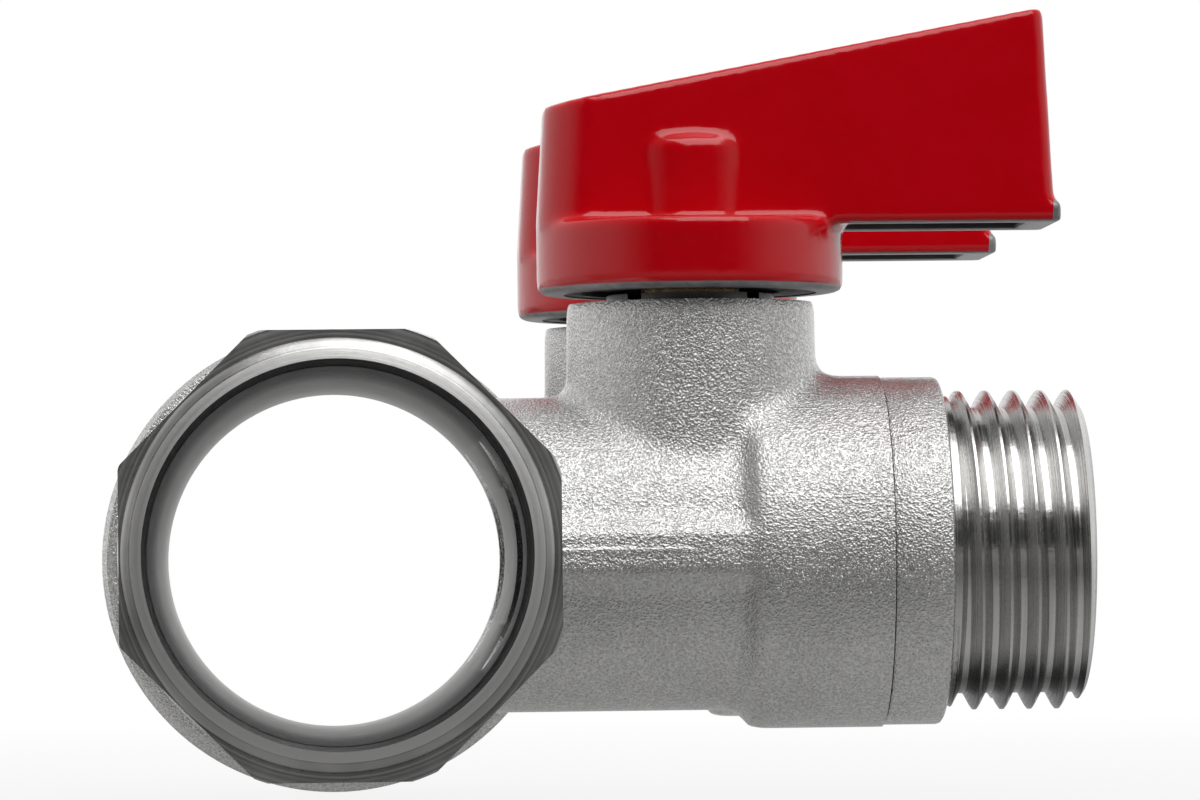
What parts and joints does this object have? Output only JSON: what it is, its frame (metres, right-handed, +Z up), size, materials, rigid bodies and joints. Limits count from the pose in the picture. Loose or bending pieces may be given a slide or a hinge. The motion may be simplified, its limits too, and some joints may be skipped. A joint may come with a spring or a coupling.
{
  "type": "twin ball valve manifold",
  "caption": "Nickel-plated pipe run with threaded ports and side outlets, each outlet shut by a quarter-turn ball valve with a red lever.",
  "frame": {"origin": "centre of the front port's mouth, on the run's axis", "axes": "+X along the outlets, +Y along the run from the front port to the rear port, +Z up the stems"},
  "size_m": [0.0657, 0.078, 0.0522],
  "materials": {
    "nickel": "satin blasted nickel",
    "bright_nickel": "bright nickel",
    "brass": "turned",
    "red_paint": "gloss",
    "seat_polymer": "waxy white fluoropolymer",
    "seal_rubber": "matte",
    "zinc_steel": "zinc plated"
  },
  "bodies": {
    "manifold": {"manifold_body": "nickel", "front_thrust_washer": "seat_polymer", "front_packing": "seat_polymer", "front_gland_nut": "bright_nickel", "front_inlet_seat": "seat_polymer", "front_outlet_seat": "seat_polymer", "front_outlet_connector": "nickel", "front_connector_o_ring": "seal_rubber", "rear_thrust_washer": "seat_polymer", "rear_packing": "seat_polymer", "rear_gland_nut": "bright_nickel", "rear_inlet_seat": "seat_polymer", "rear_outlet_seat": "seat_polymer", "rear_outlet_connector": "nickel", "rear_connector_o_ring": "seal_rubber"},
    "front_lever": {"front_handle": "red_paint", "front_handle_screw": "zinc_steel", "front_lock_washer": "zinc_steel", "front_stem": "brass", "front_stem_o_ring": "seal_rubber", "front_ball": "bright_nickel"},
    "rear_lever": {"rear_handle": "red_paint", "rear_handle_screw": "zinc_steel", "rear_lock_washer": "zinc_steel", "rear_stem": "brass", "rear_stem_o_ring": "seal_rubber", "rear_ball": "bright_nickel"}
  },
  "joints": [
    {"name": "front_lever_turn", "type": "hinge", "parent": "manifold", "child": "front_lever", "pos_m": [0.02336, 0.024, 0], "axis": [0, 0, 1], "range_deg": [-90, 0]},
    {"name": "rear_lever_turn", "type": "hinge", "parent": "manifold", "child": "rear_lever", "pos_m": [0.02336, 0.06, 0], "axis": [0, 0, 1], "range_deg": [-90, 0]}
  ]
}
